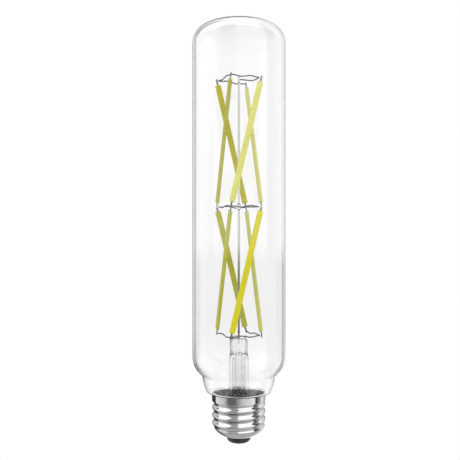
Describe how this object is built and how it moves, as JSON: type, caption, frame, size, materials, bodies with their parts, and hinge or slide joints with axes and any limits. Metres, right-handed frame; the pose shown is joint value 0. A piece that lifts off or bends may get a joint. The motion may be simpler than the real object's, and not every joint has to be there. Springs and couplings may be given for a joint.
{
  "type": "tubular light bulb",
  "caption": "Tubular clear-glass LED filament bulb with a domed top, a leaning filament cage on a glass stem and a metal screw cap, which lights when screwed into a lamp holder.",
  "frame": {"origin": "middle of the centre contact's outer face, on the bulb's axis", "axes": "+Z along the axis from the contact to the dome, -Y towards the viewer of the picture, +X to the viewer's right"},
  "size_m": [0.0448, 0.0448, 0.2035],
  "materials": {
    "clear_glass": "clear, polished",
    "stem_glass": "clear, fire-polished",
    "nickel_plate": "bright nickel plate",
    "black_insulator": "glossy black",
    "contact_metal": "satin",
    "cement": "matt",
    "phosphor": "satin",
    "carrier_metal": "satin",
    "wire_metal": "satin",
    "board": "satin",
    "black_package": "matt",
    "capacitor_can": "satin",
    "resistor_coat": "matt",
    "wire_sleeve": "satin"
  },
  "bodies": {
    "root": {"screw_shell": "nickel_plate", "insulator": "black_insulator", "centre_contact": "contact_metal", "glass_envelope": "clear_glass", "cement_ring": "cement", "glass_stem": "stem_glass", "exhaust_tube": "stem_glass", "support_rod": "wire_metal", "middle_bead": "stem_glass", "bottom_wire": "wire_metal", "middle_wire": "wire_metal", "top_wire": "wire_metal", "lead_in_wire_left": "wire_metal", "lead_in_wire_right": "wire_metal", "lower_filament_1": "phosphor", "lower_carrier_1": "carrier_metal", "lower_filament_2": "phosphor", "lower_carrier_2": "carrier_metal", "lower_filament_3": "phosphor", "lower_carrier_3": "carrier_metal", "lower_filament_4": "phosphor", "lower_carrier_4": "carrier_metal", "upper_filament_1": "phosphor", "upper_carrier_1": "carrier_metal", "upper_filament_2": "phosphor", "upper_carrier_2": "carrier_metal", "upper_filament_3": "phosphor", "upper_carrier_3": "carrier_metal", "upper_filament_4": "phosphor", "upper_carrier_4": "carrier_metal", "driver_board": "board", "bridge_rectifier": "black_package", "driver_chip": "black_package", "smoothing_capacitor": "capacitor_can", "fuse_resistor": "resistor_coat", "live_wire": "wire_sleeve", "neutral_wire": "wire_sleeve"}
  },
  "joints": []
}
